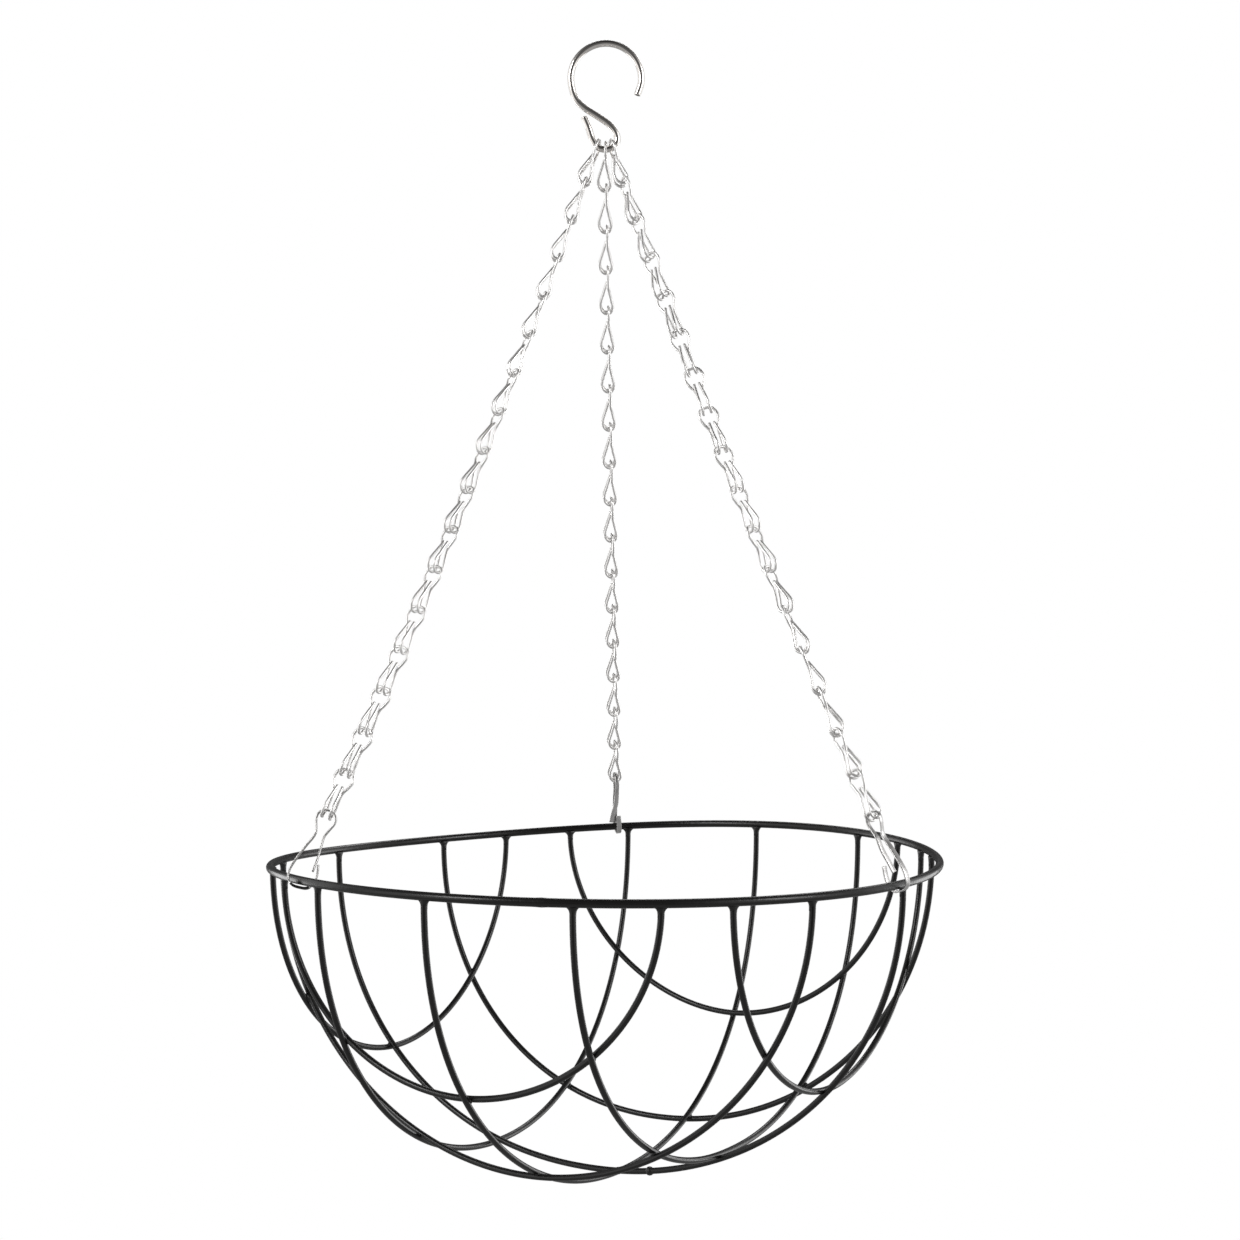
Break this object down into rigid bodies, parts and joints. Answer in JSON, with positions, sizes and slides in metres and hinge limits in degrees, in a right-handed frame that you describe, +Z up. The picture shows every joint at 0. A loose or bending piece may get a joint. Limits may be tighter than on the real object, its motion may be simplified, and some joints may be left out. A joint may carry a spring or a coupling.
{
  "type": "hanging basket",
  "caption": "Round wire hanging basket: crossing ribs welded under a rim ring, hung by wire-link chains with spring clips from an S-hook.",
  "frame": {"origin": "the point under the crown of the S-hook where the hook rests on its support", "axes": "+Z up along the hanging line, +X to the right across the hook's plane, +Y towards the rear chain"},
  "size_m": [0.354, 0.3584, 0.5991],
  "materials": {
    "black_coat": "semi-gloss black coating over welded steel wire",
    "zinc_wire": "bright zinc-plated wire",
    "bright_steel": "polished bright-plated round wire"
  },
  "bodies": {
    "s_hook": {"s_hook": "bright_steel"},
    "basket": {"rim_ring": "black_coat", "rib_a1": "black_coat", "rib_a2": "black_coat", "rib_a3": "black_coat", "rib_a4": "black_coat", "rib_a5": "black_coat", "rib_b1": "black_coat", "rib_b2": "black_coat", "rib_b3": "black_coat", "rib_b4": "black_coat", "rib_b5": "black_coat"},
    "left_link_01": {"left_link_01": "zinc_wire"},
    "left_link_02": {"left_link_02": "zinc_wire"},
    "left_link_03": {"left_link_03": "zinc_wire"},
    "left_link_04": {"left_link_04": "zinc_wire"},
    "left_link_05": {"left_link_05": "zinc_wire"},
    "left_links_06_07": {"left_links_06_07": "zinc_wire"},
    "left_link_08": {"left_link_08": "zinc_wire"},
    "left_link_09": {"left_link_09": "zinc_wire"},
    "left_link_10": {"left_link_10": "zinc_wire"},
    "left_link_11": {"left_link_11": "zinc_wire"},
    "left_links_12_13": {"left_links_12_13": "zinc_wire"},
    "left_link_14": {"left_link_14": "zinc_wire"},
    "left_link_15": {"left_link_15": "zinc_wire"},
    "left_link_16": {"left_link_16": "zinc_wire"},
    "left_link_17": {"left_link_17": "zinc_wire"},
    "left_clip": {"left_clip": "zinc_wire"},
    "rear_link_01": {"rear_link_01": "zinc_wire"},
    "rear_link_02": {"rear_link_02": "zinc_wire"},
    "rear_link_03": {"rear_link_03": "zinc_wire"},
    "rear_link_04": {"rear_link_04": "zinc_wire"},
    "rear_link_05": {"rear_link_05": "zinc_wire"},
    "rear_links_06_07": {"rear_links_06_07": "zinc_wire"},
    "rear_link_08": {"rear_link_08": "zinc_wire"},
    "rear_link_09": {"rear_link_09": "zinc_wire"},
    "rear_link_10": {"rear_link_10": "zinc_wire"},
    "rear_link_11": {"rear_link_11": "zinc_wire"},
    "rear_links_12_13": {"rear_links_12_13": "zinc_wire"},
    "rear_link_14": {"rear_link_14": "zinc_wire"},
    "rear_link_15": {"rear_link_15": "zinc_wire"},
    "rear_link_16": {"rear_link_16": "zinc_wire"},
    "rear_link_17": {"rear_link_17": "zinc_wire"},
    "rear_clip": {"rear_clip": "zinc_wire"},
    "right_link_01": {"right_link_01": "black_coat"},
    "right_link_02": {"right_link_02": "black_coat"},
    "right_link_03": {"right_link_03": "black_coat"},
    "right_link_04": {"right_link_04": "black_coat"},
    "right_link_05": {"right_link_05": "black_coat"},
    "right_links_06_07": {"right_links_06_07": "black_coat"},
    "right_link_08": {"right_link_08": "black_coat"},
    "right_link_09": {"right_link_09": "black_coat"},
    "right_link_10": {"right_link_10": "black_coat"},
    "right_link_11": {"right_link_11": "black_coat"},
    "right_links_12_13": {"right_links_12_13": "black_coat"},
    "right_link_14": {"right_link_14": "black_coat"},
    "right_link_15": {"right_link_15": "black_coat"},
    "right_link_16": {"right_link_16": "black_coat"},
    "right_link_17": {"right_link_17": "black_coat"},
    "right_clip": {"right_clip": "black_coat"}
  },
  "joints": [
    {"name": "basket_swing", "type": "hinge", "parent": "s_hook", "child": "basket", "pos_m": [0.0004, 0, -0.0543], "axis": [1, 0, 0], "range_deg": [-40, 40]},
    {"name": "left_head_on_hook", "type": "hinge", "parent": "s_hook", "child": "left_link_01", "pos_m": [0.0004, 0, -0.0543], "axis": [1, 0, 0], "range_deg": [-40, 40]},
    {"name": "left_hinge_02", "type": "hinge", "parent": "left_link_01", "child": "left_link_02", "pos_m": [-0.00989, -0.00457, -0.07108], "axis": [-0.0175, 0.9772, -0.2118], "range_deg": [-0.63, 0.63]},
    {"name": "left_hinge_03", "type": "hinge", "parent": "left_link_02", "child": "left_link_03", "pos_m": [-0.01688, -0.0092, -0.09189], "axis": [-0.1155, 0.9765, -0.1819], "range_deg": [-0.54, 0.54]},
    {"name": "left_hinge_04", "type": "hinge", "parent": "left_link_03", "child": "left_link_04", "pos_m": [-0.02398, -0.01391, -0.11265], "axis": [-0.2105, 0.9661, -0.1496], "range_deg": [-0.67, 0.67]},
    {"name": "left_hinge_05", "type": "hinge", "parent": "left_link_04", "child": "left_link_05", "pos_m": [-0.03118, -0.01868, -0.13335], "axis": [-0.3017, 0.9464, -0.1153], "range_deg": [-0.76, 0.76]},
    {"name": "left_hinge_06", "type": "hinge", "parent": "left_link_05", "child": "left_links_06_07", "pos_m": [-0.03848, -0.02352, -0.15399], "axis": [-0.3883, 0.9181, -0.0794], "range_deg": [-1.21, 1.21]},
    {"name": "left_hinge_08", "type": "hinge", "parent": "left_links_06_07", "child": "left_link_08", "pos_m": [-0.05341, -0.03342, -0.1951], "axis": [-0.546, 0.8378, -0.0035], "range_deg": [-1.19, 1.19]},
    {"name": "left_hinge_09", "type": "hinge", "parent": "left_link_08", "child": "left_link_09", "pos_m": [-0.06104, -0.03847, -0.21557], "axis": [-0.6162, 0.7867, 0.0358], "range_deg": [-5.81, 5.81]},
    {"name": "left_hinge_10", "type": "hinge", "parent": "left_link_09", "child": "left_link_10", "pos_m": [-0.06876, -0.0436, -0.23598], "axis": [-0.6804, 0.7289, 0.0759], "range_deg": [-3.57, 3.57]},
    {"name": "left_hinge_11", "type": "hinge", "parent": "left_link_10", "child": "left_link_11", "pos_m": [-0.07659, -0.04879, -0.25634], "axis": [-0.7381, 0.6646, 0.1163], "range_deg": [-1.49, 1.49]},
    {"name": "left_hinge_12", "type": "hinge", "parent": "left_link_11", "child": "left_links_12_13", "pos_m": [-0.08453, -0.05405, -0.27664], "axis": [-0.7889, 0.5941, 0.1569], "range_deg": [-2.79, 2.79]},
    {"name": "left_hinge_14", "type": "hinge", "parent": "left_links_12_13", "child": "left_link_14", "pos_m": [-0.10072, -0.06478, -0.31706], "axis": [-0.8683, 0.4353, 0.2377], "range_deg": [-2.4, 2.4]},
    {"name": "left_hinge_15", "type": "hinge", "parent": "left_link_14", "child": "left_link_15", "pos_m": [-0.10897, -0.07026, -0.33719], "axis": [-0.8958, 0.3475, 0.2771], "range_deg": [-1.3, 1.3]},
    {"name": "left_hinge_16", "type": "hinge", "parent": "left_link_15", "child": "left_link_16", "pos_m": [-0.11733, -0.0758, -0.35726], "axis": [-0.9143, 0.2543, 0.3153], "range_deg": [-1.03, 1.03]},
    {"name": "left_hinge_17", "type": "hinge", "parent": "left_link_16", "child": "left_link_17", "pos_m": [-0.12579, -0.08141, -0.37727], "axis": [-0.9229, 0.1564, 0.3517], "range_deg": [-1.04, 1.04]},
    {"name": "left_clip_hinge", "type": "hinge", "parent": "left_link_17", "child": "left_clip", "pos_m": [-0.13436, -0.08709, -0.39722], "axis": [-0.9386, 0.0664, 0.3386], "range_deg": [-5.16, 5.16]},
    {"name": "rear_head_on_hook", "type": "hinge", "parent": "s_hook", "child": "rear_link_01", "pos_m": [0.0004, 0, -0.0543], "axis": [1, 0, 0], "range_deg": [-40, 40]},
    {"name": "rear_hinge_02", "type": "hinge", "parent": "rear_link_01", "child": "rear_link_02", "pos_m": [0.00061, 0.0093, -0.07127], "axis": [0.0282, 0.9093, 0.4151], "range_deg": [-2.9, 2.9]},
    {"name": "rear_hinge_03", "type": "hinge", "parent": "rear_link_02", "child": "rear_link_03", "pos_m": [0.00092, 0.01861, -0.09169], "axis": [0.011, 0.9095, 0.4156], "range_deg": [-1.42, 1.42]},
    {"name": "rear_hinge_04", "type": "hinge", "parent": "rear_link_03", "child": "rear_link_04", "pos_m": [0.00123, 0.02794, -0.11211], "axis": [-0.0063, 0.9094, 0.416], "range_deg": [-1.4, 1.4]},
    {"name": "rear_hinge_05", "type": "hinge", "parent": "rear_link_04", "child": "rear_link_05", "pos_m": [0.00154, 0.03728, -0.13252], "axis": [-0.0236, 0.909, 0.4162], "range_deg": [-1.38, 1.38]},
    {"name": "rear_hinge_06", "type": "hinge", "parent": "rear_link_05", "child": "rear_links_06_07", "pos_m": [0.00185, 0.04663, -0.15292], "axis": [-0.0409, 0.9083, 0.4163], "range_deg": [-2.01, 2.01]},
    {"name": "rear_hinge_08", "type": "hinge", "parent": "rear_links_06_07", "child": "rear_link_08", "pos_m": [0.00247, 0.06537, -0.19371], "axis": [-0.0754, 0.9062, 0.4162], "range_deg": [-1.97, 1.97]},
    {"name": "rear_hinge_09", "type": "hinge", "parent": "rear_link_08", "child": "rear_link_09", "pos_m": [0.00278, 0.07476, -0.2141], "axis": [-0.0927, 0.9047, 0.4159], "range_deg": [-2.88, 2.88]},
    {"name": "rear_hinge_10", "type": "hinge", "parent": "rear_link_09", "child": "rear_link_10", "pos_m": [0.00309, 0.08416, -0.23448], "axis": [-0.1099, 0.9029, 0.4155], "range_deg": [-4.04, 4.04]},
    {"name": "rear_hinge_11", "type": "hinge", "parent": "rear_link_10", "child": "rear_link_11", "pos_m": [0.00341, 0.09357, -0.25485], "axis": [-0.127, 0.9009, 0.415], "range_deg": [-3.22, 3.22]},
    {"name": "rear_hinge_12", "type": "hinge", "parent": "rear_link_11", "child": "rear_links_12_13", "pos_m": [0.00372, 0.103, -0.27522], "axis": [-0.1442, 0.8986, 0.4143], "range_deg": [-1.83, 1.83]},
    {"name": "rear_hinge_14", "type": "hinge", "parent": "rear_links_12_13", "child": "rear_link_14", "pos_m": [0.00435, 0.12189, -0.31594], "axis": [-0.1782, 0.8933, 0.4126], "range_deg": [-1.78, 1.78]},
    {"name": "rear_hinge_15", "type": "hinge", "parent": "rear_link_14", "child": "rear_link_15", "pos_m": [0.00466, 0.13135, -0.33629], "axis": [-0.1952, 0.8902, 0.4116], "range_deg": [-1.17, 1.17]},
    {"name": "rear_hinge_16", "type": "hinge", "parent": "rear_link_15", "child": "rear_link_16", "pos_m": [0.00498, 0.14083, -0.35664], "axis": [-0.2121, 0.8869, 0.4105], "range_deg": [-1.14, 1.14]},
    {"name": "rear_hinge_17", "type": "hinge", "parent": "rear_link_16", "child": "rear_link_17", "pos_m": [0.00529, 0.15031, -0.37698], "axis": [-0.2289, 0.8833, 0.4092], "range_deg": [-3.08, 3.08]},
    {"name": "rear_clip_hinge", "type": "hinge", "parent": "rear_link_17", "child": "rear_clip", "pos_m": [0.00561, 0.15982, -0.39731], "axis": [-0.1966, 0.8915, 0.4082], "range_deg": [-4.8, 4.8]},
    {"name": "right_head_on_hook", "type": "hinge", "parent": "s_hook", "child": "right_link_01", "pos_m": [0.0004, 0, -0.0543], "axis": [1, 0, 0], "range_deg": [-40, 40]},
    {"name": "right_hinge_02", "type": "hinge", "parent": "right_link_01", "child": "right_link_02", "pos_m": [0.00934, -0.00499, -0.07118], "axis": [-0.3484, 0.878, -0.3284], "range_deg": [-1.54, 1.54]},
    {"name": "right_hinge_03", "type": "hinge", "parent": "right_link_02", "child": "right_link_03", "pos_m": [0.01617, -0.01005, -0.09195], "axis": [-0.5266, 0.7674, -0.3658], "range_deg": [-0.63, 0.63]},
    {"name": "right_hinge_04", "type": "hinge", "parent": "right_link_03", "child": "right_link_04", "pos_m": [0.0231, -0.01517, -0.11266], "axis": [-0.6857, 0.6162, -0.3876], "range_deg": [-0.79, 0.79]},
    {"name": "right_hinge_05", "type": "hinge", "parent": "right_link_04", "child": "right_link_05", "pos_m": [0.03011, -0.02036, -0.13333], "axis": [-0.8138, 0.4304, -0.3904], "range_deg": [-0.93, 0.93]},
    {"name": "right_hinge_06", "type": "hinge", "parent": "right_link_05", "child": "right_links_06_07", "pos_m": [0.03721, -0.02562, -0.15394], "axis": [-0.9011, 0.2213, -0.3728], "range_deg": [-1.47, 1.47]},
    {"name": "right_hinge_08", "type": "hinge", "parent": "right_links_06_07", "child": "right_link_08", "pos_m": [0.0517, -0.03634, -0.195], "axis": [-0.9361, -0.2112, -0.2813], "range_deg": [-1.2, 1.2]},
    {"name": "right_hinge_09", "type": "hinge", "parent": "right_link_08", "child": "right_link_09", "pos_m": [0.05908, -0.0418, -0.21546], "axis": [-0.887, -0.4093, -0.2138], "range_deg": [-6.13, 6.13]},
    {"name": "right_hinge_10", "type": "hinge", "parent": "right_link_09", "child": "right_link_10", "pos_m": [0.06655, -0.04733, -0.23586], "axis": [-0.8004, -0.5836, -0.1369], "range_deg": [-2.89, 2.89]},
    {"name": "right_hinge_11", "type": "hinge", "parent": "right_link_10", "child": "right_link_11", "pos_m": [0.07411, -0.05293, -0.25622], "axis": [-0.682, -0.7294, -0.0535], "range_deg": [-3.31, 3.31]},
    {"name": "right_hinge_12", "type": "hinge", "parent": "right_link_11", "child": "right_links_12_13", "pos_m": [0.08176, -0.05859, -0.27652], "axis": [-0.5361, -0.8435, 0.0337], "range_deg": [-3.02, 3.02]},
    {"name": "right_hinge_14", "type": "hinge", "parent": "right_links_12_13", "child": "right_link_14", "pos_m": [0.09734, -0.07012, -0.31696], "axis": [-0.1749, -0.9617, 0.2112], "range_deg": [-1.36, 1.36]},
    {"name": "right_hinge_15", "type": "hinge", "parent": "right_link_14", "child": "right_link_15", "pos_m": [0.10526, -0.07598, -0.33711], "axis": [0.0341, -0.9547, 0.2955], "range_deg": [-0.5, 0.5]},
    {"name": "right_hinge_16", "type": "hinge", "parent": "right_link_15", "child": "right_link_16", "pos_m": [0.11328, -0.08192, -0.3572], "axis": [0.2536, -0.8937, 0.3701], "range_deg": [-1.8, 1.8]},
    {"name": "right_hinge_17", "type": "hinge", "parent": "right_link_16", "child": "right_link_17", "pos_m": [0.12139, -0.08792, -0.37725], "axis": [0.4704, -0.7721, 0.4273], "range_deg": [-5.52, 5.52]},
    {"name": "right_clip_hinge", "type": "hinge", "parent": "right_link_17", "child": "right_clip", "pos_m": [0.12958, -0.09399, -0.39724], "axis": [0.5264, -0.7521, 0.3965], "range_deg": [-7.63, 7.63]}
  ],
  "couplings": [
    {"joint": "left_head_on_hook", "follows": "basket_swing", "ratio": 1},
    {"joint": "left_hinge_03", "follows": "left_hinge_02", "ratio": -0.8182},
    {"joint": "left_hinge_04", "follows": "left_hinge_02", "ratio": -1.0315},
    {"joint": "left_hinge_05", "follows": "left_hinge_02", "ratio": -1.1753},
    {"joint": "left_hinge_06", "follows": "left_hinge_02", "ratio": -1.893},
    {"joint": "left_hinge_08", "follows": "left_hinge_02", "ratio": -1.853},
    {"joint": "left_hinge_09", "follows": "left_hinge_02", "ratio": 9.1881},
    {"joint": "left_hinge_10", "follows": "left_hinge_02", "ratio": 5.6311},
    {"joint": "left_hinge_11", "follows": "left_hinge_02", "ratio": -2.3303},
    {"joint": "left_hinge_12", "follows": "left_hinge_02", "ratio": -4.3901},
    {"joint": "left_hinge_14", "follows": "left_hinge_02", "ratio": -3.7784},
    {"joint": "left_hinge_15", "follows": "left_hinge_02", "ratio": -2.0274},
    {"joint": "left_hinge_16", "follows": "left_hinge_02", "ratio": -1.6053},
    {"joint": "left_hinge_17", "follows": "left_hinge_02", "ratio": -1.6151},
    {"joint": "left_clip_hinge", "follows": "left_hinge_02", "ratio": 8.1527},
    {"joint": "rear_head_on_hook", "follows": "basket_swing", "ratio": 1},
    {"joint": "rear_hinge_03", "follows": "rear_hinge_02", "ratio": -0.4825},
    {"joint": "rear_hinge_04", "follows": "rear_hinge_02", "ratio": -0.4753},
    {"joint": "rear_hinge_05", "follows": "rear_hinge_02", "ratio": -0.468},
    {"joint": "rear_hinge_06", "follows": "rear_hinge_02", "ratio": -0.6876},
    {"joint": "rear_hinge_08", "follows": "rear_hinge_02", "ratio": -0.6729},
    {"joint": "rear_hinge_09", "follows": "rear_hinge_02", "ratio": 0.9848},
    {"joint": "rear_hinge_10", "follows": "rear_hinge_02", "ratio": 1.3866},
    {"joint": "rear_hinge_11", "follows": "rear_hinge_02", "ratio": 1.1045},
    {"joint": "rear_hinge_12", "follows": "rear_hinge_02", "ratio": -0.6226},
    {"joint": "rear_hinge_14", "follows": "rear_hinge_02", "ratio": -0.6076},
    {"joint": "rear_hinge_15", "follows": "rear_hinge_02", "ratio": -0.395},
    {"joint": "rear_hinge_16", "follows": "rear_hinge_02", "ratio": -0.3874},
    {"joint": "rear_hinge_17", "follows": "rear_hinge_02", "ratio": -1.0549},
    {"joint": "rear_clip_hinge", "follows": "rear_hinge_02", "ratio": 1.648},
    {"joint": "right_head_on_hook", "follows": "basket_swing", "ratio": 1},
    {"joint": "right_hinge_03", "follows": "right_hinge_02", "ratio": -0.3974},
    {"joint": "right_hinge_04", "follows": "right_hinge_02", "ratio": -0.503},
    {"joint": "right_hinge_05", "follows": "right_hinge_02", "ratio": -0.5914},
    {"joint": "right_hinge_06", "follows": "right_hinge_02", "ratio": -0.9445},
    {"joint": "right_hinge_08", "follows": "right_hinge_02", "ratio": -0.7684},
    {"joint": "right_hinge_09", "follows": "right_hinge_02", "ratio": 3.97},
    {"joint": "right_hinge_10", "follows": "right_hinge_02", "ratio": 1.8665},
    {"joint": "right_hinge_11", "follows": "right_hinge_02", "ratio": -2.1337},
    {"joint": "right_hinge_12", "follows": "right_hinge_02", "ratio": -1.946},
    {"joint": "right_hinge_14", "follows": "right_hinge_02", "ratio": -0.8679},
    {"joint": "right_hinge_15", "follows": "right_hinge_02", "ratio": 0.3135},
    {"joint": "right_hinge_16", "follows": "right_hinge_02", "ratio": 1.1555},
    {"joint": "right_hinge_17", "follows": "right_hinge_02", "ratio": -3.5718},
    {"joint": "right_clip_hinge", "follows": "right_hinge_02", "ratio": 4.9433}
  ]
}
